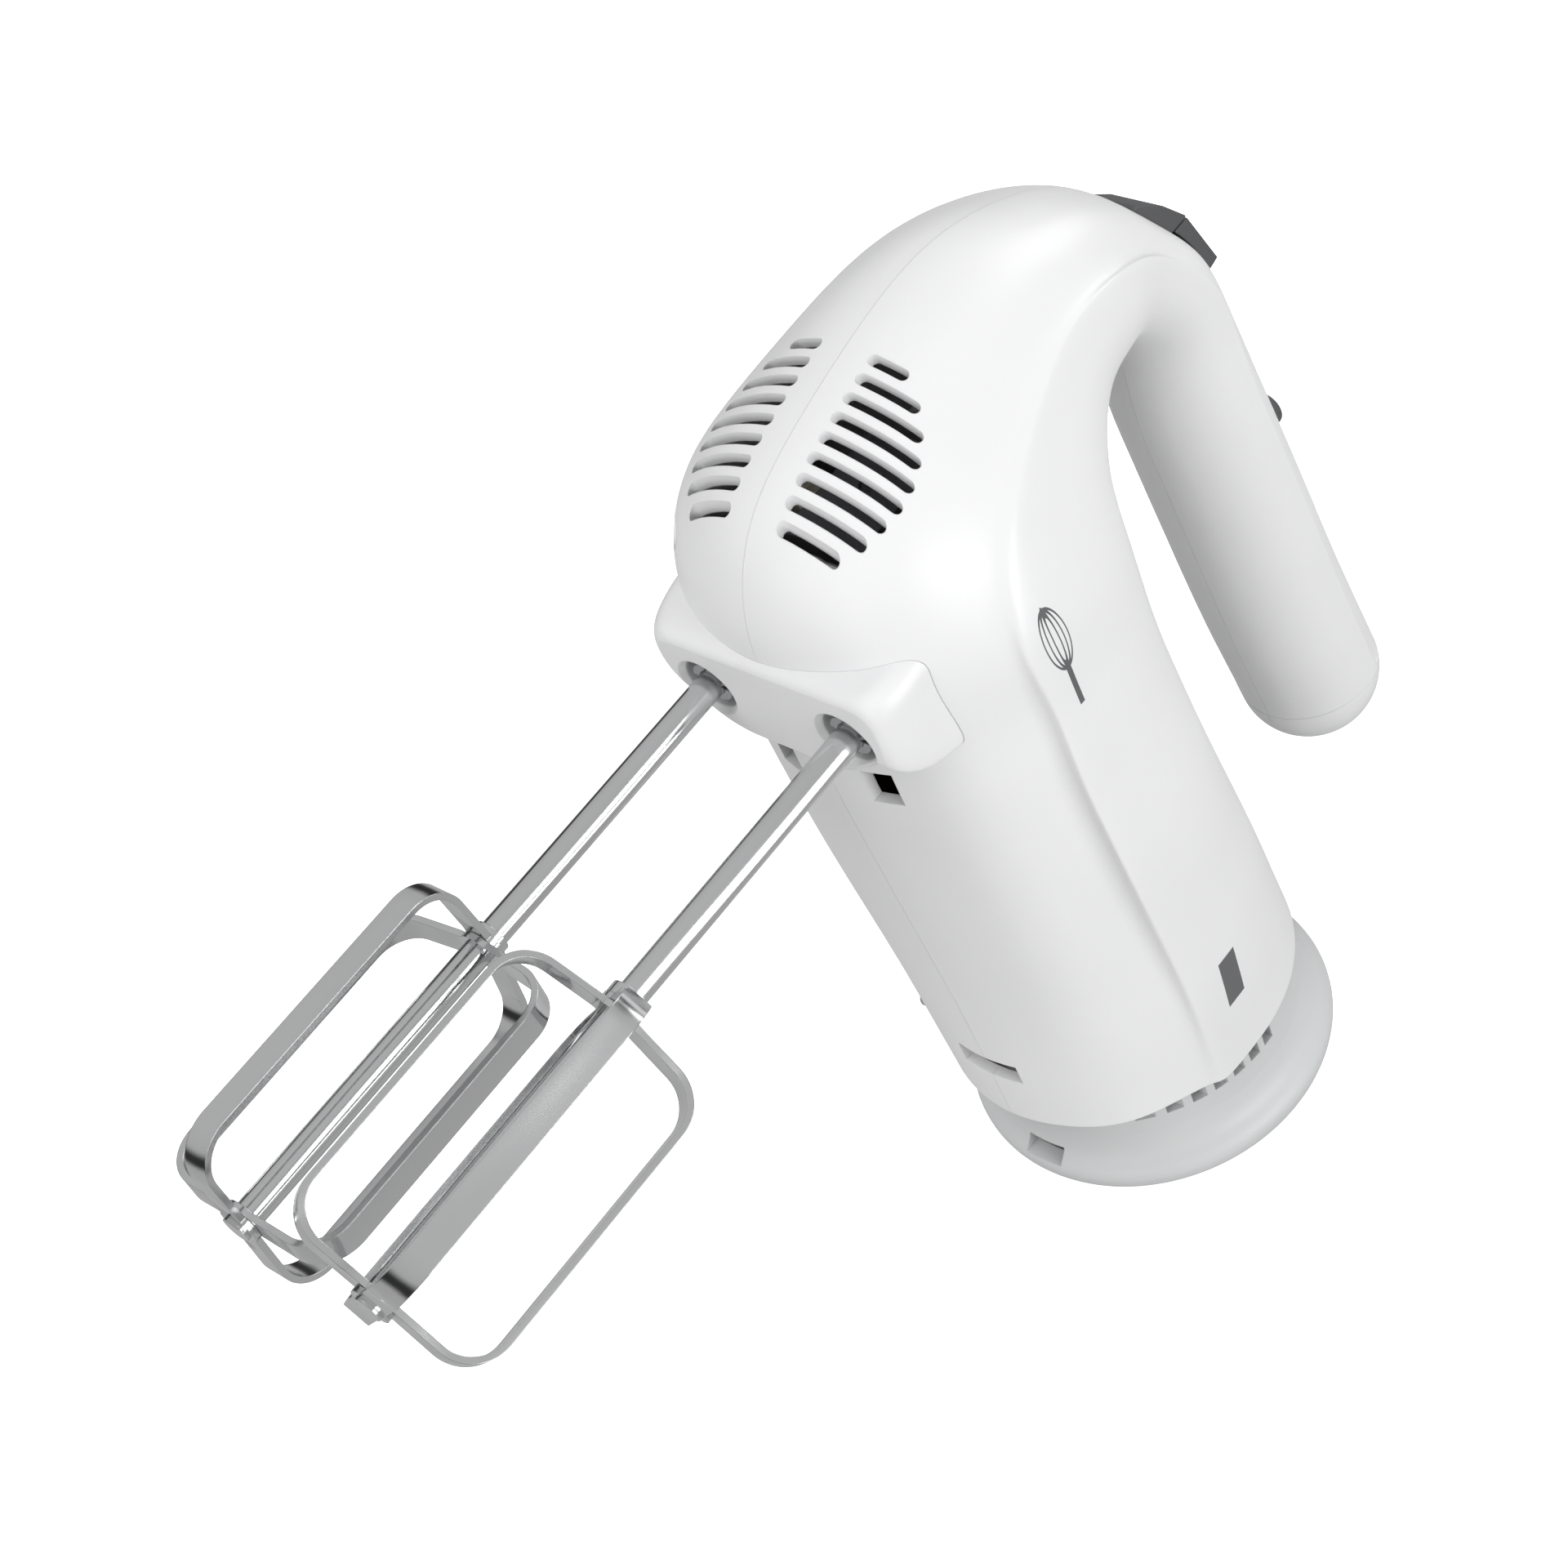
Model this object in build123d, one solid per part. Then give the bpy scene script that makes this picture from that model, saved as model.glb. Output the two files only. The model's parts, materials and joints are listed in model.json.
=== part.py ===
from build123d import *
import math
import os

# Hand mixer standing on its heel. Millimetres, +Z up, the beaters point to -X,
# the handle is on +X. The origin is the centre of the heel's flat face.
os.makedirs("parts", exist_ok=True)

# ---- Driving dimensions -------------------------------------------------
WALL = 2.4                  # shell wall
GAP = 0.5                   # clearance under parts that move over the shell
RIM_Z = 27.0                # lower edge of the white shells
ARCH_X, ARCH_Z = 44.0, 150.0    # centre of the round top of the finger gap
HANDLE_END = (78.0, 41.4, 15.4)  # x, z and radius of the handle's round end
SECTION_STEP = 12.0         # distance between the lofted sections
BALL_STEP = 0.06            # the round end stands this much proud of the last section

# Horizontal sections of the body: height, centre x, half depth, half width.
BODY_SECTIONS = [
    (RIM_Z, -2.0, 39.3, 37.5),
    (60.0, -4.0, 37.2, 41.2),
    (100.0, -7.2, 35.4, 43.6),
    (130.0, -8.3, 35.3, 43.0),
]
# Sections turned about the arch centre: angle, inner and outer radius, half width.
ARCH_SECTIONS = [
    (0.0, 15.5, 88.0, 42.4),
    (16.0, 15.0, 93.7, 42.0),
    (31.0, 14.5, 91.6, 38.0),
    (51.0, 14.0, 74.5, 30.5),
    (70.0, 14.0, 63.9, 26.0),
    (90.0, 14.0, 53.6, 23.0),
    (112.0, 14.0, 45.0, 19.0),
    (137.0, 14.0, 38.4, 16.6),
    (159.0, 13.6, 37.6, 15.8),
    (180.0, 13.0, 37.9, 15.2),
]
# Horizontal sections of the handle: height, centre x, half depth, half width.
HANDLE_SECTIONS = [
    (135.0, 69.8, 13.9, 15.3),
    (100.0, 72.4, 14.6, 15.7),
    (70.0, 74.8, 15.0, 15.7),
    (HANDLE_END[1], HANDLE_END[0], HANDLE_END[2], HANDLE_END[2]),
]

# Collar round the sockets: x, half width, lower and upper edge.
COLLAR_SECTIONS = [
    (-48.0, 26.0, 151.0, 171.0),
    (-47.2, 27.2, 149.9, 172.3),
    (-45.4, 28.4, 148.7, 173.2),
    (-40.0, 29.8, 147.0, 174.4),
    (-31.0, 30.6, 146.0, 175.0),
    (-22.0, 31.0, 145.6, 175.0),
]
SOCKET_R = 5.9

# Nose vents: nine straight slots on each side of the plain middle strip.
VENT_X, VENT_PITCH, VENT_SLOT, VENT_INNER = -1.8, -4.0, 2.3, 5.6
VENT_REACH = [13.8, 18.4, 21.2, 23.0, 24.0, 24.0, 23.1, 21.4, 18.0]

# Heel cap
HEEL_R, NECK_R, SPIGOT_R, SPIGOT_Z = 40.0, 35.4, 33.7, 31.0
HEEL_VENT_X, HEEL_VENT_PITCH, HEEL_VENT_COUNT = -26.9, 4.6, 7
GLAND_Z, GLAND_BORE = 14.0, 3.3

# Housing screws: x, z and the y at which the head seats.
SCREWS = [(-30.0, 40.5, 24.0), (20.5, 114.0, 26.0), (-32.5, 183.0, 16.0),
          (40.0, 190.0, 14.0), (71.0, 127.0, 8.0), (76.0, 58.0, 8.0)]

# Drive line
SPINDLE_Y, SPINDLE_Z = 17.0, 160.7      # the two beater axes
MOTOR_X = -8.0                          # motor axis, parallel to Z
SHAFT_R = 3.0
SPINDLE_R, SPINDLE_BORE = 4.5, 2.86
FIT = 0.05                              # radial running clearance
WORM_MEAN, WORM_THROW = 4.45, 1.0       # eccentric section that makes the thread
WORM_LEAD = math.pi
WHEEL_TEETH, WHEEL_ROOT, WHEEL_TIP = 25, 11.3, 13.1
WHEEL_PITCH_R = 12.5
PLATE_A_X, PLATE_B_X = (-24.0, -20.5), (-1.5, 1.5)   # the gear frame's two plates
STACK_Z = (78.0, 104.0)                 # laminated stacks
PILLAR_Y = 23.5

# Beaters
FACE_X = -48.0              # front face of the collar round the sockets
BEATER_R = 2.8
BEATER_IN_X = -15.0         # inner end of a seated beater
CAGE_TOP, CAGE_END = -111.1, -176.9
CAGE_R = 21.5
STRIP_W, STRIP_T = 5.4, 1.3
EYELET_R = 4.0              # the strips widen round the shaft

# Controls
TRACK_X, TRACK_Z, TRACK_R = 13.2, 138.7, 70.3   # centre and radius of the slider's track
TRACK_TRAVEL = 6.5          # degrees
CONTROL_HALF = 6.5          # half width of the button and the slider
CONTROL_TIP = (67.5, 182.6)
CONTROL_APEX = (79.4, 170.6)
CONTROL_REAR = (83.8, 156.7)
ROD_Z = 175.5               # ejector rod
TURBO_Z, TURBO_R = 109.0, 4.3
EJECT_TRAVEL = 6.0


def save(shape, node):
    export_step(shape, f"parts/{node}.step")


def box(x, y, z):
    """Box from its lower and upper limit along each axis."""
    size = (x[1] - x[0], y[1] - y[0], z[1] - z[0])
    mid = ((x[0] + x[1]) / 2, (y[0] + y[1]) / 2, (z[0] + z[1]) / 2)
    return Pos(*mid) * Box(*size)


def rod_x(r, x, y, z):
    """Cylinder along X between two x values."""
    return Pos((x[0] + x[1]) / 2, y, z) * Rot(0, 90, 0) * Cylinder(r, x[1] - x[0])


def rod_y(r, x, z, y):
    return Pos(x, (y[0] + y[1]) / 2, z) * Rot(90, 0, 0) * Cylinder(r, y[1] - y[0])


def rod_z(r, x, y, z):
    return Pos(x, y, (z[0] + z[1]) / 2) * Cylinder(r, z[1] - z[0])


def total(shapes):
    result = shapes[0]
    for shape in shapes[1:]:
        result = result + shape
    return result


def prism_y(points, y):
    """Outline in the XZ plane, extruded between two y values."""
    face = make_face(Polyline(*[(px, y[0], pz) for px, pz in points], close=True))
    return extrude(face, amount=y[1] - y[0], dir=(0, 1, 0))


def prism_x(points, x):
    """Outline in the YZ plane, extruded between two x values."""
    face = make_face(Polyline(*[(x[0], py, pz) for py, pz in points], close=True))
    return extrude(face, amount=x[1] - x[0], dir=(1, 0, 0))


# ---- Housing ------------------------------------------------------------
def profile_knots():
    """Inner point, outer point and half width of every given section."""
    knots = []
    for z, x, depth, width in BODY_SECTIONS:
        knots.append((x + depth, z, x - depth, z, width))
    for angle, inner, outer, width in ARCH_SECTIONS:
        c, s = math.cos(math.radians(angle)), math.sin(math.radians(angle))
        inside = (ARCH_X - c * inner, ARCH_Z + s * inner)
        outside = (ARCH_X - c * outer, ARCH_Z + s * outer)
        knots.append((*inside, *outside, width))
    for z, x, depth, width in HANDLE_SECTIONS:
        knots.append((x - depth, z, x + depth, z, width))
    return knots


def profile_stations():
    """The knots, with evenly spaced sections blended in between them."""
    knots = profile_knots()
    at = [0.0]
    for a, b in zip(knots, knots[1:]):
        at.append(at[-1] + (math.dist(a[:2], b[:2]) + math.dist(a[2:4], b[2:4])) / 2)
    last = len(knots) - 1
    slopes = []
    for k in range(len(knots)):
        low, high = max(k - 1, 0), min(k + 1, last)
        run = at[high] - at[low]
        slopes.append([(p - q) / run for p, q in zip(knots[high], knots[low])])
    stations = [knots[0]]
    for k in range(last):
        span = at[k + 1] - at[k]
        count = max(1, round(span / SECTION_STEP))
        for step in range(1, count + 1):
            t = step / count
            weights = (
                2 * t**3 - 3 * t**2 + 1,
                (t**3 - 2 * t**2 + t) * span,
                3 * t**2 - 2 * t**3,
                (t**3 - t**2) * span,
            )
            columns = zip(knots[k], slopes[k], knots[k + 1], slopes[k + 1])
            stations.append(tuple(sum(w * v for w, v in zip(weights, c)) for c in columns))
    return stations


def oval(depth, width):
    """Ellipse of two mirrored curves that meet at its widest points."""
    halves = []
    for start in (math.pi / 2, -math.pi / 2):
        turns = [start + math.pi * k / 8 for k in range(9)]
        points = [(depth * math.cos(t), width * math.sin(t)) for t in turns]
        side = math.sin(start)
        halves.append(Spline(*points, tangents=[(-side, 0), (side, 0)]))
    return make_face(Wire(halves))


def housing_form(inset, below=0.0):
    """The body and handle as one rounded form, drawn in by the inset."""
    faces = []
    for in_x, in_z, out_x, out_z, width in profile_stations():
        depth = math.dist((in_x, in_z), (out_x, out_z))
        out = ((out_x - in_x) / depth, 0, (out_z - in_z) / depth)
        origin = ((in_x + out_x) / 2, 0, (in_z + out_z) / 2)
        plane = Plane(origin=origin, x_dir=out, z_dir=(out[2], 0, -out[0]))
        faces.append(plane * oval(depth / 2 - inset, width - inset))
    form = loft(faces)
    end_x, end_z, end_r = HANDLE_END
    ball = Pos(end_x, 0, end_z) * Sphere(end_r - inset + BALL_STEP)
    reach = end_r + 5
    form += ball & box((end_x - reach, end_x + reach), (-reach, reach), (end_z - reach, end_z))
    if below:
        z, x, depth, width = BODY_SECTIONS[0]
        plane = Plane(origin=(x, 0, z - below), x_dir=(-1, 0, 0), z_dir=(0, 0, 1))
        form += extrude(plane * oval(depth - inset, width - inset), amount=below)
    return form


def collar_outline(half, low, high):
    """Flat-topped boat outline in the YZ plane."""
    top = Line((-half + 5, high), (half - 5, high))
    right = Spline((half - 5, high), (half, high - 5), tangents=[(1, 0), (0, -1)])
    keel = Spline(
        (half, high - 5),
        (half * 0.84, low + 7),
        (half * 0.55, low + 1.4),
        (0, low),
        (-half * 0.55, low + 1.4),
        (-half * 0.84, low + 7),
        (-half, high - 5),
        tangents=[(0, -1), (0, 1)],
    )
    left = Spline((-half, high - 5), (-half + 5, high), tangents=[(0, 1), (1, 0)])
    return make_face(Wire([top, right, keel, left]))


def collar_form(inset):
    """Block round the sockets, wider where it meets the body."""
    faces = []
    for x, half, low, high in COLLAR_SECTIONS:
        plane = Plane(origin=(x + inset, 0, 0), x_dir=(0, 1, 0), z_dir=(1, 0, 0))
        faces.append(plane * collar_outline(half - inset, low + inset, high - inset))
    return loft(faces)


def nose_vents():
    cutters = []
    for k, reach in enumerate(VENT_REACH):
        x = VENT_X + VENT_PITCH * k
        length = reach - VENT_INNER
        for side in (-1, 1):
            slot = extrude(SlotOverall(length, VENT_SLOT, rotation=90), amount=40)
            cutters.append(Pos(x, side * (VENT_INNER + length / 2), 180) * slot)
    return cutters


def sector_y(centre, radii, angles, half):
    """Part of a ring about a Y axis; angles are measured from +X towards +Z."""
    cx, cz = centre
    points = []
    steps = 8
    turns = [angles[0] + (angles[1] - angles[0]) * k / steps for k in range(steps + 1)]
    for radius, order in ((radii[0], turns), (radii[1], reversed(turns))):
        for angle in order:
            t = math.radians(angle)
            points.append((cx + radius * math.cos(t), cz + radius * math.sin(t)))
    return prism_y(points, (-half, half))


def track_angle(x, z):
    return math.degrees(math.atan2(z - TRACK_Z, x - TRACK_X))


outer = housing_form(0.0)
inner = housing_form(WALL, below=1.0)
over = housing_form(-GAP)

# The two shells with their screw bosses
bosses = total([rod_y(3.9, x, z, (-60, 60)) for x, z, head in SCREWS])
rod_rib = box((19, 21.5), (-14, 14), (ROD_Z - 8, 215))
shells = (outer - inner) + (bosses & outer) + (rod_rib & outer)
shells -= rod_x(3.6, (15, 25), 0, ROD_Z)
for x, z, head in SCREWS:
    shells -= rod_y(1.7, x, z, (0, 60))
    shells -= rod_y(3.2, x, z, (head, 60))
    shells -= rod_y(1.4, x, z, (-7.5, 0))
for cutter in nose_vents():
    shells -= cutter
for side in (-1, 1):
    shells -= box((-50, -36), sorted((side * 8.5, side * 15.0)), (134.5, 143.0))
shells -= box((-50, -36), (-7.5, 7.5), (40.8, 46.4))
collar = collar_form(0.0)
shells -= collar

# Openings for the controls
button_hole = prism_y(
    [(52, 183.4), (90, 183.4), (90, 170.4), (58, 170.4)],
    (-CONTROL_HALF - 0.4, CONTROL_HALF + 0.4),
)
shells -= button_hole
slot_top = track_angle(77.2, 167.5)
slot_low = slot_top - 11.0
shells -= sector_y((TRACK_X, TRACK_Z), (60, 80), (slot_low, slot_top), 2.9)
shells -= rod_x(TURBO_R + 0.4, (80, 95), 0, TURBO_Z)

left_shell = shells & box((-200, 200), (-100, 0), (-10, 300))
right_shell = shells & box((-200, 200), (0, 100), (-10, 300))
save(left_shell, "left_shell")
save(right_shell, "right_shell")
save(total([
    rod_y(3.0, x, z, (head, head + 2)) + rod_y(1.4, x, z, (-7, head + 0.5))
    - rod_y(1.2, x, z, (head + 1, head + 3))
    for x, z, head in SCREWS
]), "housing_screws")

# Collar: hollow behind, with a tube round each socket
sockets = total([rod_x(8.4, (-47.5, -34), y, SPINDLE_Z) for y in (-SPINDLE_Y, SPINDLE_Y)])
beater_collar = (collar - inner) - collar_form(WALL) + (sockets & collar)
for y in (-SPINDLE_Y, SPINDLE_Y):
    beater_collar -= rod_x(SOCKET_R, (-60, -30), y, SPINDLE_Z)
    beater_collar -= Pos(FACE_X + 0.6, y, SPINDLE_Z) * Rot(0, 90, 0) * Cone(SOCKET_R + 0.9, SOCKET_R, 1.2)
save(beater_collar, "beater_collar")

# ---- Heel cap -----------------------------------------------------------
heel_outline = make_face([
    Line((0, 0, 0), (34, 0, 0)),
    Spline((34, 0, 0), (38.6, 0, 1.7), (HEEL_R, 0, 5.2), tangents=[(1, 0, 0), (0, 0, 1)]),
    Spline((HEEL_R, 0, 5.2), (37.4, 0, 9.4), (NECK_R, 0, 15.5), tangents=[(0, 0, 1), (-0.15, 0, 1)]),
    Spline((NECK_R, 0, 15.5), (36.0, 0, RIM_Z), tangents=[(-0.05, 0, 1), (0.2, 0, 1)]),
    Polyline((36.0, 0, RIM_Z), (SPIGOT_R, 0, RIM_Z), (SPIGOT_R, 0, SPIGOT_Z)),
    Polyline((SPIGOT_R, 0, SPIGOT_Z), (SPIGOT_R - WALL, 0, SPIGOT_Z), (SPIGOT_R - WALL, 0, 14.0)),
    Polyline((SPIGOT_R - WALL, 0, 14.0), (35.5, 0, 7.0), (35.5, 0, 5.0), (32.5, 0, WALL)),
    Line((32.5, 0, WALL), (0, 0, WALL)),
    Line((0, 0, WALL), (0, 0, 0)),
])
heel_cap = revolve(heel_outline, Axis.Z)
heel_cap -= rod_z(32.0, 0, 0, (-1, 1.2)) - rod_z(26.0, 0, 0, (-2, 2))
for k in range(HEEL_VENT_COUNT):
    x = HEEL_VENT_X + HEEL_VENT_PITCH * k
    for side in (-1, 1):
        heel_cap -= box((x - 1.4, x + 1.4), sorted((side * 12, side * 45)), (20.2, 24.6))
heel_cap -= box((-45, -33.4), (-4.6, 4.6), (7.2, 10.4))
heel_cap -= rod_x(5.6, (25, 50), 0, GLAND_Z)
save(heel_cap, "heel_cap")
save(rod_z(31.9, 0, 0, (0, 1.2)) - rod_z(26.1, 0, 0, (-1, 2)), "heel_ring")
gland = rod_x(5.5, (28, 41), 0, GLAND_Z) + rod_x(7.2, (28, 30.5), 0, GLAND_Z)
gland -= rod_x(GLAND_BORE, (20, 50), 0, GLAND_Z)
save(gland, "cord_gland")

# ---- Gear frame and its bearings -----------------------------------------
AXES_Y = (-SPINDLE_Y, SPINDLE_Y)
plate = [(-30, 134), (30, 134), (30, 170), (20, 181), (-20, 181), (-30, 170)]
frame = prism_x(plate, PLATE_A_X) + prism_x(plate, PLATE_B_X)
frame += box((PLATE_A_X[0], PLATE_B_X[1]), (-30, 30), (134, 138))
frame += box((PLATE_A_X[0], PLATE_B_X[1]), (-9, 9), (176.5, 181))
frame += rod_z(9.0, MOTOR_X, 0, (128, 138))
for y in (-PILLAR_Y, PILLAR_Y):
    frame += rod_z(3.6, MOTOR_X, y, (STACK_Z[1], 136))
    frame -= rod_z(1.5, MOTOR_X, y, (STACK_Z[1] - 1, 130))
frame -= rod_z(6.5, MOTOR_X, 0, (120, 140))
frame -= rod_z(2.5 + FIT, MOTOR_X, 0, (170, 190))
for y in AXES_Y:
    frame -= rod_x(7.0, (-40, 10), y, SPINDLE_Z)
save(frame, "gear_frame")
bushes = []
for y in AXES_Y:
    for x in ((-25.0, -20.0), (-1.8, 1.8)):
        bushes.append(rod_x(7.0, x, y, SPINDLE_Z) - rod_x(SPINDLE_R + FIT, x, y, SPINDLE_Z))
save(total(bushes), "spindle_bushes")
front_bearing = rod_z(6.5, MOTOR_X, 0, (129, 138)) - rod_z(SHAFT_R + FIT, MOTOR_X, 0, (120, 140))
rear_bearing = rod_z(6.0, MOTOR_X, 0, (49, 56)) - rod_z(SHAFT_R + FIT, MOTOR_X, 0, (40, 60))
save(front_bearing, "front_bearing")
save(rear_bearing, "rear_bearing")

# ---- Motor ---------------------------------------------------------------
motor = Pos(MOTOR_X, 0, 0)
stack = extrude(Pos(0, 0, STACK_Z[0]) * RectangleRounded(44, 54, 8), amount=STACK_Z[1] - STACK_Z[0])
stack -= rod_z(15.6, 0, 0, (70, 110))
for sx in (-1, 1):
    for sy in (-1, 1):
        stack -= box(sorted((sx * 11, sx * 18.4)), sorted((sy * 12, sy * 20)), (70, 110))
for y in (-PILLAR_Y, PILLAR_Y):
    stack -= rod_z(1.7, 0, y, (70, 110))
save(motor * stack, "stator_core")
coils = []
for side in (-1, 1):
    y = sorted((side * 12.4, side * 19.6))
    coil = box((-18, 18), y, (72.5, 109.5)) - box((-11.4, 11.4), (-30, 30), (77.9, 104.1))
    coils.append(coil)
save(motor * total(coils), "field_coils")

slots = [Rot(0, 0, 36 * k) * box((8.5, 16), (-1.3, 1.3), (77, 105)) for k in range(10)]
core = rod_z(15.2, 0, 0, STACK_Z) - rod_z(SHAFT_R, 0, 0, (70, 110))
for slot in slots:
    core -= slot
save(motor * core, "armature_core")
bars = [Rot(0, 0, 36 * k) * box((8.6, 13.6), (-1.2, 1.2), STACK_Z) for k in range(10)]
windings = rod_z(12.0, 0, 0, (72.5, STACK_Z[0])) + rod_z(12.0, 0, 0, (STACK_Z[1], 109.5))
windings += total(bars)
windings -= rod_z(SHAFT_R, 0, 0, (60, 120))
save(motor * windings, "armature_windings")
commutator = rod_z(9.0, 0, 0, (59.5, 70)) + rod_z(5.5, 0, 0, (70, 72.5))
commutator -= rod_z(SHAFT_R, 0, 0, (50, 80))
for k in range(20):
    commutator -= Rot(0, 0, 18 * k) * box((8.4, 10), (-0.25, 0.25), (59, 69))
save(motor * commutator, "commutator")

holders, brushes = [], []
for side in (-1, 1):
    tube = box(sorted((side * 10.4, side * 23)), (-4.2, 4.2), (60.2, 69.2))
    holders.append(tube - box((-30, 30), (-3.2, 3.2), (61.2, 68.2)))
    brushes.append(box(sorted((side * 9.15, side * 20)), (-3.1, 3.1), (61.3, 68.1)))
save(motor * total(holders), "brush_holders")
save(motor * total(brushes), "carbon_brushes")
bridge = box((-23, 23), (-6, 6), (51, 55)) + box((-6, 6), (-27, 27), (51, 55))
bridge += rod_z(9.0, 0, 0, (49, 56))
for side in (-1, 1):
    bridge += box(sorted((side * 19, side * 23)), (-4.2, 4.2), (54, 60.2))
    bridge += rod_z(3.6, 0, side * PILLAR_Y, (51, STACK_Z[0]))
    bridge -= rod_z(1.7, 0, side * PILLAR_Y, (40, 80))
bridge -= rod_z(6.0, 0, 0, (40, 60))
save(motor * bridge, "brush_bridge")
long_screws = []
for side in (-1, 1):
    y = side * PILLAR_Y
    long_screws.append(rod_z(3.0, 0, y, (48.8, 51)) + rod_z(1.5, 0, y, (50.5, 118)))
save(motor * total(long_screws), "motor_screws")

worm_section = Plane(origin=(WORM_THROW, 0, 147.0)) * Circle(WORM_MEAN)
worm_turns = 27.4 / WORM_LEAD
worm = Solid.extrude_linear_with_rotation(
    worm_section.face(), center=(0, 0, 147.0), normal=(0, 0, 27.4), angle=360 * worm_turns
)
# A trough faces +Y at the height of the spindles.
crest_at_start = 90 + 180 - 360 * (SPINDLE_Z - 147.0) / WORM_LEAD
shaft = rod_z(SHAFT_R, 0, 0, (48.5, 147.5)) + Rot(0, 0, crest_at_start) * worm
shaft += rod_z(2.5, 0, 0, (174, 180.5))
save(motor * shaft, "motor_shaft")
fan = rod_z(19.0, 0, 0, (113, 114.2)) + rod_z(6.5, 0, 0, (113, 123))
for k in range(14):
    fan += Rot(0, 0, 360 / 14 * k) * Pos(12.4, 0, 118) * Rot(0, 0, 18) * Box(12.4, 1.0, 8.2)
fan -= rod_z(SHAFT_R, 0, 0, (110, 130))
save(motor * fan, "cooling_fan")

# ---- Worm wheels, spindles, eject pins and beaters -------------------------
wheel_points = []
for k in range(WHEEL_TEETH):
    for radius, lean in ((WHEEL_ROOT, -3.8), (WHEEL_TIP, -1.0), (WHEEL_TIP, 1.0), (WHEEL_ROOT, 3.8)):
        t = math.radians(360 / WHEEL_TEETH * k + lean)
        wheel_points.append((radius * math.cos(t), radius * math.sin(t)))
wheel_w = 8.0
lead_angle = math.atan(WORM_LEAD / (2 * math.pi * 4.5))
wheel_twist = math.degrees(wheel_w * math.tan(lead_angle) / WHEEL_PITCH_R)
wheel = Solid.extrude_linear_with_rotation(
    make_face(Polyline(*wheel_points, close=True)).face(),
    center=(0, 0, 0), normal=(0, 0, wheel_w), angle=wheel_twist,
)
wheel = Rot(0, 0, -wheel_twist / 2) * wheel
# Laid on its side: the wheel's axis becomes +X and its first tooth points to -Y.
lay = Plane(origin=(MOTOR_X - wheel_w / 2, 0, 0), x_dir=(0, -1, 0), z_dir=(1, 0, 0)).location


def loop_ring(top, end):
    """Closed strip loop in the plane of the beater axis."""
    outline = [
        (top, 4.0), (top - 1.8, CAGE_R), (end - 0.2, CAGE_R), (end, 4.0),
        (end, -4.0), (end - 0.2, -CAGE_R), (top - 1.8, -CAGE_R), (top, -4.0),
    ]
    face = make_face(Polyline(*outline, close=True))
    corners = face.vertices().filter_by(lambda v: abs(v.Y) > 10)
    face = fillet(corners, 8.5)
    ring = face - offset(face, -STRIP_T)
    loop = extrude(ring, amount=STRIP_W / 2, both=True)
    loop += rod_x(EYELET_R, (top - STRIP_T, top), 0, 0)
    return loop + rod_x(EYELET_R, (end, end + STRIP_T), 0, 0)


for name, y, turn in (("left", -SPINDLE_Y, 45.0), ("right", SPINDLE_Y, 0.0)):
    seat = Pos(0, y, SPINDLE_Z)
    spindle = rod_x(SPINDLE_R, (-46.6, 1.6), 0, 0) + rod_x(5.5, (-19.8, -17.8), 0, 0)
    spindle -= rod_x(SPINDLE_BORE, (-60, 10), 0, 0)
    spindle -= box((-60, -41.2), (-10, 10), (-0.7, 0.7))
    save(seat * spindle, f"{name}_spindle")
    gear = lay * wheel + rod_x(7.0, (-16, -2.6), 0, 0) - rod_x(SPINDLE_R, (-30, 10), 0, 0)
    save(seat * gear, f"{name}_worm_wheel")
    pin = rod_x(2.5, (BEATER_IN_X + 0.2, 9), 0, 0) + rod_x(3.9, (8.2, 10.2), 0, 0)
    save(seat * pin, f"{name}_eject_pin")
    shaft = rod_x(BEATER_R, (CAGE_END - 0.7, BEATER_IN_X), 0, 0)
    shaft += box((-46.2, -41.6), (-4.2, 4.2), (-0.5, 0.5))
    shaft -= rod_x(4, (-20.4, -19.6), 0, 0) - rod_x(2.0, (-22, -18), 0, 0)
    save(seat * shaft, f"{name}_beater_shaft")
    bore = rod_x(BEATER_R, (-200, -100), 0, 0)
    lay_flat = Rot(turn + 90, 0, 0)
    blade_a = lay_flat * loop_ring(CAGE_TOP, CAGE_END) - bore
    blade_b = Rot(90, 0, 0) * lay_flat * loop_ring(CAGE_TOP - STRIP_T - 0.05, CAGE_END + STRIP_T + 0.05) - bore
    save(seat * blade_a, f"{name}_blade_a")
    save(seat * blade_b, f"{name}_blade_b")
    sleeve_r, sleeve_l = (3.9, 2.4) if name == "left" else (3.5, 1.5)
    sleeve = rod_x(sleeve_r, (CAGE_TOP, CAGE_TOP + sleeve_l), 0, 0) - rod_x(BEATER_R, (-150, -80), 0, 0)
    save(seat * sleeve, f"{name}_beater_sleeve")

# ---- Ejector --------------------------------------------------------------
plate_x = (10.4, 13.2)
ejector = box(plate_x, (-22, 22), (153, 168)) + box(plate_x, (-6, 6), (160, 180))
ejector += rod_x(3.0, (13, 58), 0, ROD_Z) + rod_x(5.6, (40, 41.5), 0, ROD_Z)
save(ejector, "ejector_plate")
tip_x, tip_z = CONTROL_TIP
apex_x, apex_z = CONTROL_APEX
button = prism_y(
    [(58, 182.9), (tip_x, 182.9), (tip_x + 0.6, tip_z + 0.2), (74.6, 177.4), (apex_x, apex_z + 0.4),
     (apex_x - 0.4, apex_z + 0.2), (58, apex_z + 0.2)],
    (-CONTROL_HALF, CONTROL_HALF),
)
save(button, "eject_button")


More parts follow.
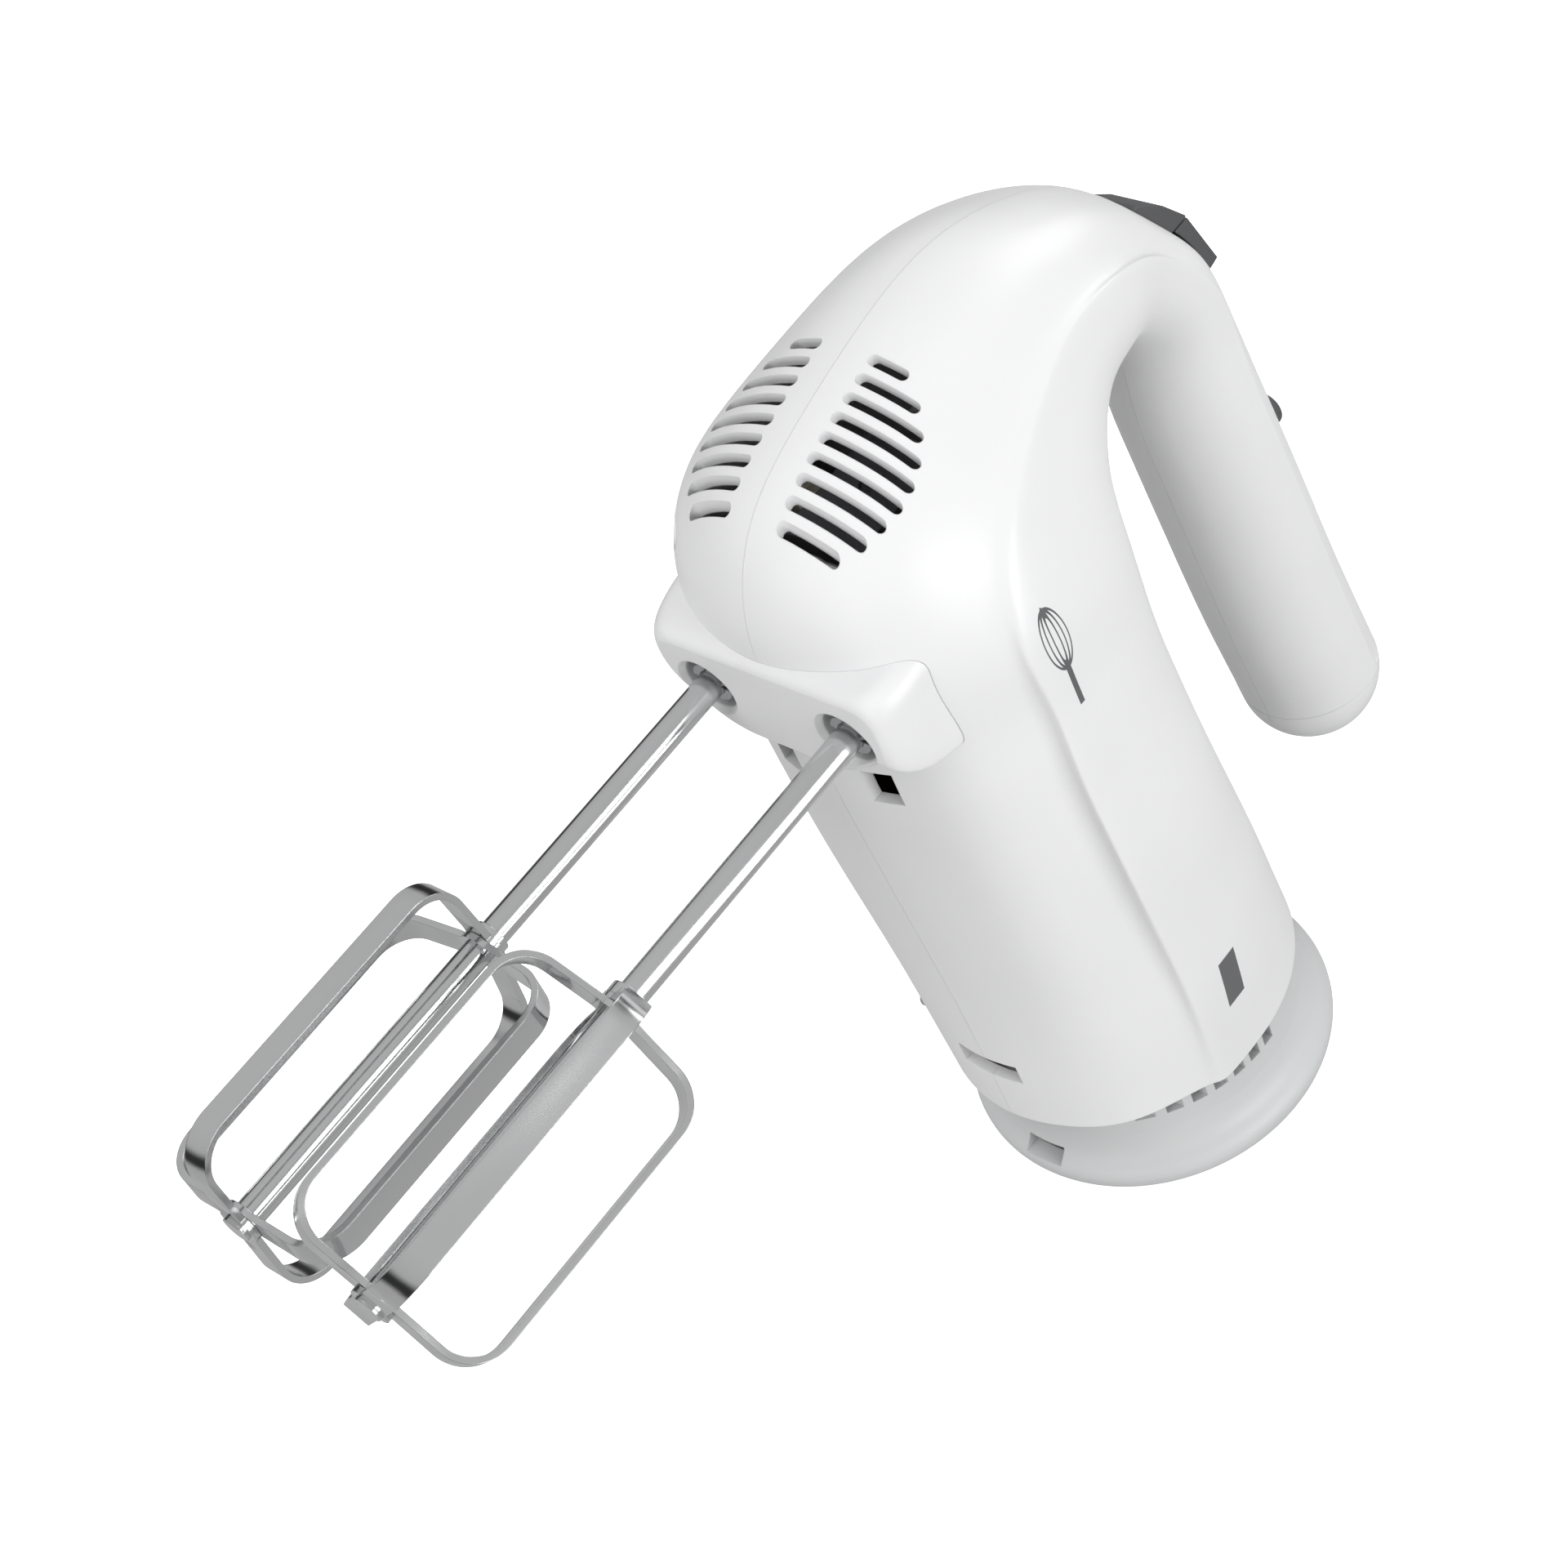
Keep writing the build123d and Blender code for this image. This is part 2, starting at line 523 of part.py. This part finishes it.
def coil_spring(radius, wire, start, end, turns):
    """Round-wire spring along X, with its axis on the origin line."""
    height = end - start - 2 * wire
    path = Helix(pitch=height / turns, height=height, radius=radius)
    profile = Plane(origin=path @ 0, z_dir=path % 0) * Circle(wire)
    coil = sweep(profile, path=path, is_frenet=True)
    return Pos(start + wire, 0, 0) * Rot(0, 90, 0) * coil


save(Pos(0, 0, ROD_Z) * coil_spring(4.3, 0.45, 21.6, 39.9, 7), "ejector_spring")

# ---- Speed slider, turbo button and switches -------------------------------
rear_x, rear_z = CONTROL_REAR
slider = prism_y(
    [(apex_x - 10, apex_z - 0.1), (apex_x, apex_z - 0.1), (rear_x, rear_z), (rear_x - 5.4, rear_z - 1.2),
     (rear_x - 12, rear_z + 3)],
    (-CONTROL_HALF, CONTROL_HALF),
)
slider -= over
stem_top = slot_top - 0.6
slider += sector_y((TRACK_X, TRACK_Z), (61.5, 72.0), (stem_top - 3.2, stem_top), 2.4)
save(slider, "speed_slider")
turbo = rod_x(TURBO_R, (81.4, 89.4), 0, TURBO_Z) + rod_x(5.6, (80.2, 81.7), 0, TURBO_Z)
turbo += Pos(89.4, 0, TURBO_Z) * Rot(0, 90, 0) * scale(Sphere(TURBO_R), by=(1, 1, 0.36))
save(turbo, "turbo_button")
save(Pos(0, 0, TURBO_Z) * coil_spring(3.0, 0.3, 74.6, 80.1, 4), "turbo_spring")
save(box((66, 74.5), (-5.5, 5.5), (103, 115)), "turbo_switch")
save(box((60.5, 70.6), (-6, 6), (142, 158)), "speed_switch")

# ---- Electrics --------------------------------------------------------------
board = box((18, 19.6), (-18, 18), (50, 94)) + rod_x(5.0, (19, 24), 6, 62)
board += box((19, 25), (-14, -4), (56, 74)) + box((19, 23), (2, 12), (76, 88))
save(board, "control_board")
terminal = box((8, 26), (-9, 9), (36, 46)) - box((10, 24), (-7, -1), (40, 50)) - box((10, 24), (1, 7), (40, 50))
save(terminal, "terminal_block")
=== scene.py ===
import json
import math

import bmesh
import bpy
from mathutils import Matrix, Vector

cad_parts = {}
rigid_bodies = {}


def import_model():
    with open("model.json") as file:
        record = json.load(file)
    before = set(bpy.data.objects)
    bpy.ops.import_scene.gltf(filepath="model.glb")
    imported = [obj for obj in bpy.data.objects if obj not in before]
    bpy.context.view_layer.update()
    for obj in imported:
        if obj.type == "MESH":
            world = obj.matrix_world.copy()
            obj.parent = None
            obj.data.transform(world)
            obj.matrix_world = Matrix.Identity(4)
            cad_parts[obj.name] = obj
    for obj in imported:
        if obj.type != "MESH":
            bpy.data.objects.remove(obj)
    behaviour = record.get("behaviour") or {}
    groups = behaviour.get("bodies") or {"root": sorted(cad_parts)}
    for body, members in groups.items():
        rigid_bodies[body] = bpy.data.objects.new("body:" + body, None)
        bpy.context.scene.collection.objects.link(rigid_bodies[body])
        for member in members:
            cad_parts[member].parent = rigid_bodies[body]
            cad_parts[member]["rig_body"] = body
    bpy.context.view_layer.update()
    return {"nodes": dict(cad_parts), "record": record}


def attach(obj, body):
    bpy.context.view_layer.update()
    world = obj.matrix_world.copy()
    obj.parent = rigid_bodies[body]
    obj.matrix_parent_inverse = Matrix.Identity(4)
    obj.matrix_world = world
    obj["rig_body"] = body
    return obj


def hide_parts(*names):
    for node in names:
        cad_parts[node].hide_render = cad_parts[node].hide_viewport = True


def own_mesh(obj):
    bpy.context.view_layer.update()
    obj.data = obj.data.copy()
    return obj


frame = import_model()
NODES = frame["nodes"]
SLOT_OF = {row["node"]: row["material_slot"] for row in frame["record"]["subparts"]}
BODY_OF = {node: obj["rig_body"] for node, obj in NODES.items()}

# ---- Camera ---------------------------------------------------------------
AZIMUTH, ELEVATION, ROLL = (math.radians(angle) for angle in (-30.43, 43.82, 27.65))
LOOK_AT = Vector((-0.0531, 0.0, 0.1469))
DISTANCE = 0.591
LENS, SENSOR = 75.0, 36.0


def camera_axes():
    """The view's right, up and backward directions."""
    back = Vector((
        math.sin(AZIMUTH) * math.cos(ELEVATION),
        -math.cos(AZIMUTH) * math.cos(ELEVATION),
        math.sin(ELEVATION),
    ))
    level = Vector((math.cos(AZIMUTH), math.sin(AZIMUTH), 0.0))
    upright = back.cross(level)
    right = level * math.cos(ROLL) - upright * math.sin(ROLL)
    up = level * math.sin(ROLL) + upright * math.cos(ROLL)
    return right, up, back


RIGHT, UP, BACK = camera_axes()
camera_data = bpy.data.cameras.new("camera")
camera_data.lens = LENS
camera_data.sensor_width = SENSOR
camera_data.clip_start, camera_data.clip_end = 0.02, 30.0
camera = bpy.data.objects.new("camera", camera_data)
bpy.context.scene.collection.objects.link(camera)
camera.matrix_world = (
    Matrix.Translation(LOOK_AT + BACK * DISTANCE)
    @ Matrix((RIGHT, UP, BACK)).transposed().to_4x4()
)
bpy.context.scene.camera = camera
bpy.context.scene.view_settings.view_transform = "Standard"


# ---- Material graph helper --------------------------------------------------
class Graph:
    """Node tree of one material, with short calls for the nodes used most."""

    def __init__(self, name):
        self.material = bpy.data.materials.new(name)
        self.material.use_nodes = True
        self.tree = self.material.node_tree
        self.shader = self.tree.nodes["Principled BSDF"]
        self.place = self.add("ShaderNodeTexCoord").outputs["Object"]

    def add(self, kind, **settings):
        node = self.tree.nodes.new(kind)
        for key, value in settings.items():
            setattr(node, key, value)
        return node

    def feed(self, socket, value):
        if isinstance(value, bpy.types.NodeSocket):
            self.tree.links.new(value, socket)
        else:
            socket.default_value = value

    def math(self, operation, *values, clamp=False):
        node = self.add("ShaderNodeMath", operation=operation, use_clamp=clamp)
        for socket, value in zip(node.inputs, values):
            self.feed(socket, value)
        return node.outputs[0]

    def noise(self, vector, scale, detail=3.0, roughness=0.5):
        node = self.add("ShaderNodeTexNoise")
        self.feed(node.inputs["Vector"], vector)
        node.inputs["Scale"].default_value = scale
        node.inputs["Detail"].default_value = detail
        node.inputs["Roughness"].default_value = roughness
        return node.outputs["Fac"]

    def stretched(self, factors):
        node = self.add("ShaderNodeMapping")
        self.feed(node.inputs["Vector"], self.place)
        node.inputs["Scale"].default_value = factors
        return node.outputs["Vector"]

    def remap(self, value, low, high, to_low, to_high):
        node = self.add("ShaderNodeMapRange")
        for socket, number in zip(node.inputs, (value, low, high, to_low, to_high)):
            self.feed(socket, number)
        return node.outputs[0]

    def mix(self, factor, first, second):
        node = self.add("ShaderNodeMix", data_type="RGBA")
        self.feed(node.inputs[0], factor)
        for socket, colour in zip(node.inputs[6:8], (first, second)):
            self.feed(socket, colour if isinstance(colour, bpy.types.NodeSocket) else (*colour, 1.0))
        return node.outputs[2]

    def axes(self):
        node = self.add("ShaderNodeSeparateXYZ")
        self.feed(node.inputs[0], self.place)
        return node.outputs


def shade(colour, factor):
    return tuple(min(1.0, channel * factor) for channel in colour)


def finish(
    name, colour, rough, metallic=0.0, tint=0.06, patch=30.0, spread=0.06,
    grain=1400.0, relief=0.25, stretch=(1.0, 1.0, 1.0), edge=0.00035, wear=0.35,
    wear_colour=None, lines=None, coat=0.0, swell=0.0,
):
    """Procedural finish: patchy colour, uneven roughness, fine relief and worn, rounded edges.

    lines gives (axis, pitch in metres, darkening) for laminations, windings or turning marks,
    swell the depth in metres of slow waves that streak a polished surface's reflections.
    """
    graph = Graph(name)
    shader = graph.shader
    shader.inputs["Metallic"].default_value = metallic
    shader.inputs["Coat Weight"].default_value = coat
    vector = graph.stretched(stretch)
    patches = graph.noise(vector, patch)
    base = graph.mix(
        graph.remap(patches, 0.3, 0.7, 0.0, 1.0),
        shade(colour, 1.0 - tint),
        shade(colour, 1.0 + tint * 0.5),
    )
    height = graph.noise(vector, grain, 2.0)
    if lines:
        axis, pitch, dark = lines
        along = graph.axes()[axis]
        ripple = graph.math("SINE", graph.math("MULTIPLY", along, 2 * math.pi / pitch))
        ridge = graph.remap(ripple, -1.0, 1.0, 0.0, 1.0)
        base = graph.mix(ridge, shade(colour, 1.0 - dark), base)
        height = graph.math("ADD", height, graph.math("MULTIPLY", ridge, 2.0))
    rounded = graph.add("ShaderNodeBevel", samples=4)
    rounded.inputs["Radius"].default_value = edge
    facing = graph.add("ShaderNodeVectorMath", operation="DOT_PRODUCT")
    graph.feed(facing.inputs[0], rounded.outputs[0])
    graph.feed(facing.inputs[1], graph.add("ShaderNodeNewGeometry").outputs["Normal"])
    rim = graph.remap(facing.outputs["Value"], 0.999, 0.9, 0.0, wear)
    rim = graph.math("MULTIPLY", rim, graph.remap(patches, 0.35, 0.6, 0.3, 1.0))
    base = graph.mix(rim, base, wear_colour or shade(colour, 0.86))
    graph.feed(shader.inputs["Roughness"], graph.remap(patches, 0.3, 0.7, rough - spread, rough + spread))
    bump = graph.add("ShaderNodeBump")
    bump.inputs["Strength"].default_value = relief
    bump.inputs["Distance"].default_value = 0.00005
    graph.feed(bump.inputs["Height"], height)
    if swell:
        waves = graph.add("ShaderNodeBump")
        waves.inputs["Distance"].default_value = swell
        graph.feed(waves.inputs["Height"], graph.noise(vector, 110.0, 0.0))
        graph.feed(waves.inputs["Normal"], rounded.outputs[0])
        graph.feed(bump.inputs["Normal"], waves.outputs[0])
    else:
        graph.feed(bump.inputs["Normal"], rounded.outputs[0])
    graph.feed(shader.inputs["Normal"], bump.outputs[0])
    graph.feed(shader.inputs["Base Color"], base)
    return graph, base


WHITE = (0.76, 0.762, 0.768)
finishes = {
    "collar_white": dict(
        colour=WHITE, rough=0.36, tint=0.015, spread=0.04, relief=0.12, wear=0.12, edge=0.0006
    ),
    "heel_frost": dict(colour=(0.55, 0.555, 0.56), rough=0.5, tint=0.03, relief=0.4, grain=2200.0, wear=0.2),
    "heel_rubber": dict(colour=(0.09, 0.09, 0.095), rough=0.85, tint=0.15, relief=0.6),
    "gland_rubber": dict(colour=(0.60, 0.60, 0.61), rough=0.75, tint=0.08, relief=0.5),
    "screw_steel": dict(
        colour=(0.56, 0.56, 0.57), rough=0.33, metallic=1.0, stretch=(1, 8, 1), wear_colour=(0.8, 0.8, 0.8)
    ),
    "frame_nylon": dict(colour=(0.10, 0.10, 0.11), rough=0.55, tint=0.15, relief=0.5, wear_colour=(0.2, 0.2, 0.2)),
    "bush_bronze": dict(colour=(0.46, 0.29, 0.13), rough=0.45, metallic=1.0, tint=0.2, grain=2500.0, relief=0.6),
    "lamination": dict(colour=(0.30, 0.31, 0.32), rough=0.42, metallic=0.9, tint=0.2, lines=(2, 0.0006, 0.5)),
    "copper": dict(colour=(0.52, 0.20, 0.07), rough=0.3, metallic=0.9, tint=0.15, lines=(2, 0.0007, 0.6)),
    "bridge_plastic": dict(colour=(0.045, 0.045, 0.05), rough=0.5, tint=0.2, wear_colour=(0.12, 0.12, 0.12)),
    "brass_tube": dict(colour=(0.62, 0.43, 0.16), rough=0.3, metallic=1.0, stretch=(0.1, 1, 1), tint=0.15),
    "carbon": dict(colour=(0.03, 0.03, 0.032), rough=0.6, tint=0.25, grain=3000.0, relief=0.7),
    "commutator_copper": dict(colour=(0.62, 0.27, 0.12), rough=0.25, metallic=1.0, lines=(2, 0.0005, 0.3)),
    "shaft_steel": dict(colour=(0.58, 0.59, 0.60), rough=0.22, metallic=1.0, lines=(2, 0.0004, 0.12), tint=0.08),
    "fan_plastic": dict(colour=(0.05, 0.05, 0.055), rough=0.45, tint=0.15, wear_colour=(0.13, 0.13, 0.13)),
    "board_green": dict(colour=(0.02, 0.13, 0.05), rough=0.35, tint=0.35, patch=260.0, coat=0.3),
    "terminal_plastic": dict(colour=(0.68, 0.65, 0.55), rough=0.5, tint=0.08),
    "switch_black": dict(colour=(0.03, 0.03, 0.03), rough=0.45, tint=0.2, wear_colour=(0.1, 0.1, 0.1)),
    "control_dark": dict(
        colour=(0.072, 0.073, 0.076), rough=0.55, tint=0.1, grain=2600.0, relief=0.35, edge=0.0006,
        wear_colour=(0.11, 0.11, 0.115),
    ),
    "ejector_plastic": dict(colour=(0.55, 0.55, 0.53), rough=0.5, tint=0.06),
    "spring_steel": dict(colour=(0.5, 0.5, 0.52), rough=0.25, metallic=1.0, tint=0.12, edge=0.0001),
    "spindle_steel": dict(
        colour=(0.50, 0.51, 0.52), rough=0.27, metallic=1.0, lines=(0, 0.0005, 0.15), tint=0.1,
        wear_colour=(0.75, 0.75, 0.75),
    ),
    "wheel_nylon": dict(colour=(0.72, 0.69, 0.58), rough=0.45, tint=0.07, relief=0.3),
    "beater_chrome": dict(
        colour=(0.66, 0.665, 0.67), rough=0.16, metallic=1.0, tint=0.06, spread=0.04, patch=60.0,
        stretch=(0.15, 1, 1), grain=900.0, relief=0.05, edge=0.00025, wear=0.25,
        wear_colour=(0.85, 0.85, 0.85), swell=0.0012,
    ),
}
MATERIALS = {name: finish(name, **look)[0].material for name, look in finishes.items()}


# ---- White shells with their printed marks ---------------------------------
LABEL_X, LABEL_Z = (-0.0090, -0.0038), (0.0465, 0.0610)     # solid block by the heel
MARK_X, MARK_Z = -0.0158, 0.1640                            # whisk pictogram
INK = (0.105, 0.106, 0.11)


def band(graph, value, low, high):
    """1 between two limits, otherwise 0."""
    above = graph.math("GREATER_THAN", value, low)
    return graph.math("MULTIPLY", above, graph.math("LESS_THAN", value, high))


def whisk(graph, x, z):
    """Three nested wire loops on a short stem."""
    dx = graph.math("SUBTRACT", x, MARK_X)
    dz = graph.math("SUBTRACT", z, MARK_Z)
    shown = None
    for half_width in (0.0008, 0.0019, 0.0030):
        reach = 0.0072
        across = graph.math("POWER", graph.math("DIVIDE", dx, half_width), 2.0)
        along = graph.math("POWER", graph.math("DIVIDE", dz, reach), 2.0)
        radius = graph.math("SQRT", graph.math("ADD", across, along))
        line = band(graph, radius, 1.0 - 0.00022 / half_width, 1.0 + 0.00006 / half_width)
        shown = line if shown is None else graph.math("MAXIMUM", shown, line)
    stem = graph.math(
        "MULTIPLY", band(graph, dx, -0.0006, 0.0006), band(graph, dz, -0.0165, -0.0070)
    )
    return graph.math("MAXIMUM", shown, stem)


shell_graph, shell_base = finish(
    "white_shell", WHITE, 0.36, tint=0.015, spread=0.04, relief=0.12, wear=0.03, edge=0.0003
)
x, y, z = shell_graph.axes()
block = shell_graph.math("MULTIPLY", band(shell_graph, x, *LABEL_X), band(shell_graph, z, *LABEL_Z))
ink = shell_graph.math("MAXIMUM", block, whisk(shell_graph, x, z))
ink = shell_graph.math("MULTIPLY", ink, shell_graph.math("LESS_THAN", y, -0.02))
shell_graph.feed(shell_graph.shader.inputs["Base Color"], shell_graph.mix(ink, shell_base, INK))
MATERIALS["white_shell"] = shell_graph.material


# ---- Carried-over CAD nodes --------------------------------------------------
def dress(node):
    """Gives a CAD node its finish."""
    obj = NODES[node]
    obj.data.materials.clear()
    obj.data.materials.append(MATERIALS[SLOT_OF[node]])
    for polygon in obj.data.polygons:
        polygon.material_index = 0


for node in NODES:
    dress(node)


def softened(node, width, segments=3):
    """A copy of a CAD piece with rounded edges, which stands for it."""
    mesh = NODES[node].data.copy()
    mesh.name = f"{node}_soft"
    work = bmesh.new()
    work.from_mesh(mesh)
    bmesh.ops.remove_doubles(work, verts=work.verts, dist=0.000002)
    bmesh.ops.dissolve_limit(
        work, angle_limit=math.radians(1.0), verts=work.verts, edges=work.edges
    )
    sharp = [e for e in work.edges if e.is_manifold and e.calc_face_angle() > math.radians(28)]
    bmesh.ops.bevel(
        work, geom=sharp, offset=width, segments=segments, profile=0.5, affect="EDGES", clamp_overlap=True
    )
    work.to_mesh(mesh)
    work.free()
    for polygon in mesh.polygons:
        polygon.use_smooth = True
    mesh.materials.clear()
    mesh.materials.append(MATERIALS[SLOT_OF[node]])
    piece = bpy.data.objects.new(f"{node}_soft", mesh)
    bpy.context.scene.collection.objects.link(piece)
    normals = piece.modifiers.new("normals", "WEIGHTED_NORMAL")
    normals.keep_sharp = True
    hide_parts(node)
    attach(piece, BODY_OF[node])


softened("eject_button", 0.0009)
softened("speed_slider", 0.0007)


def compressed(node):
    """A copy of a coil spring, which stands for it."""
    mesh = NODES[node].data.copy()
    mesh.name = f"{node}_coil"
    coil = bpy.data.objects.new(f"{node}_coil", mesh)
    bpy.context.scene.collection.objects.link(coil)
    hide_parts(node)
    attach(coil, BODY_OF[node])
    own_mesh(coil)


compressed("ejector_spring")
compressed("turbo_spring")


# ---- Studio -------------------------------------------------------------------
def softbox(name, direction, distance, size, power, mirrored=True):
    """Square area light on the given side of the object, facing it."""
    data = bpy.data.lights.new(name, "AREA")
    data.shape = "SQUARE"
    data.size = size
    data.energy = power
    lamp = bpy.data.objects.new(name, data)
    bpy.context.scene.collection.objects.link(lamp)
    way = Vector(direction).normalized()
    lamp.location = LOOK_AT + way * distance
    lamp.rotation_mode = "QUATERNION"
    lamp.rotation_quaternion = (-way).to_track_quat("-Z", "Y")
    lamp.visible_glossy = mirrored


softbox("top", (-0.35, 0.30, 0.88), 1.3, 1.1, 5.7, mirrored=False)
softbox("front", (0.06, -0.98, 0.08), 1.3, 1.0, 15.0)
softbox("handle_side", (0.90, -0.05, 0.42), 1.3, 0.8, 5.7)
softbox("beater_side", (-0.97, -0.10, 0.20), 1.2, 0.9, 7.0, mirrored=False)

# The surroundings are bright above and below, with a dim band round the horizon.
# Each stop is a height, from 0 straight down to 1 straight up, and a grey tone.
SKY = [(0.34, 0.50), (0.44, 0.03), (0.58, 0.03), (0.68, 0.55), (1.0, 0.62)]
world = bpy.data.worlds.new("studio")
world.use_nodes = True
bpy.context.scene.world = world
sky_nodes = world.node_tree.nodes
facing_up = sky_nodes.new("ShaderNodeSeparateXYZ")
heights = sky_nodes.new("ShaderNodeMapRange")
heights.inputs["From Min"].default_value = -1.0
tones = sky_nodes.new("ShaderNodeValToRGB")
for height, tone in SKY[2:]:
    tones.color_ramp.elements.new(height)
for stop, (height, tone) in zip(tones.color_ramp.elements, SKY):
    stop.position = height
    stop.color = (tone, tone, tone, 1.0)
sky_links = world.node_tree.links
sky_links.new(sky_nodes.new("ShaderNodeTexCoord").outputs["Generated"], facing_up.inputs[0])
sky_links.new(facing_up.outputs["Z"], heights.inputs["Value"])
sky_links.new(heights.outputs[0], tones.inputs[0])
sky_links.new(tones.outputs[0], sky_nodes["Background"].inputs["Color"])

# Plain pale floor just under the heel.
FLOOR_HALF, FLOOR_DROP = 5.0, 0.0004
FLOOR_TONE, FLOOR_ROUGH, FLOOR_GLOW = (0.9, 0.9, 0.9, 1.0), 0.9, 0.75
floor_mesh = bpy.data.meshes.new("floor")
floor_mesh.from_pydata(
    [(sx * FLOOR_HALF, sy * FLOOR_HALF, -FLOOR_DROP) for sx, sy in ((-1, -1), (1, -1), (1, 1), (-1, 1))],
    [], [(0, 1, 2, 3)],
)
floor = bpy.data.objects.new("floor", floor_mesh)
bpy.context.scene.collection.objects.link(floor)
floor_graph = Graph("floor")
floor_graph.shader.inputs["Base Color"].default_value = FLOOR_TONE
floor_graph.shader.inputs["Roughness"].default_value = FLOOR_ROUGH
floor_graph.shader.inputs["Emission Color"].default_value = (1.0, 1.0, 1.0, 1.0)
floor_graph.shader.inputs["Emission Strength"].default_value = FLOOR_GLOW
floor_mesh.materials.append(floor_graph.material)
floor.visible_diffuse = False       # the table doesn't flood the underside with light
floor.visible_glossy = False        # and isn't mirrored in the polished steel
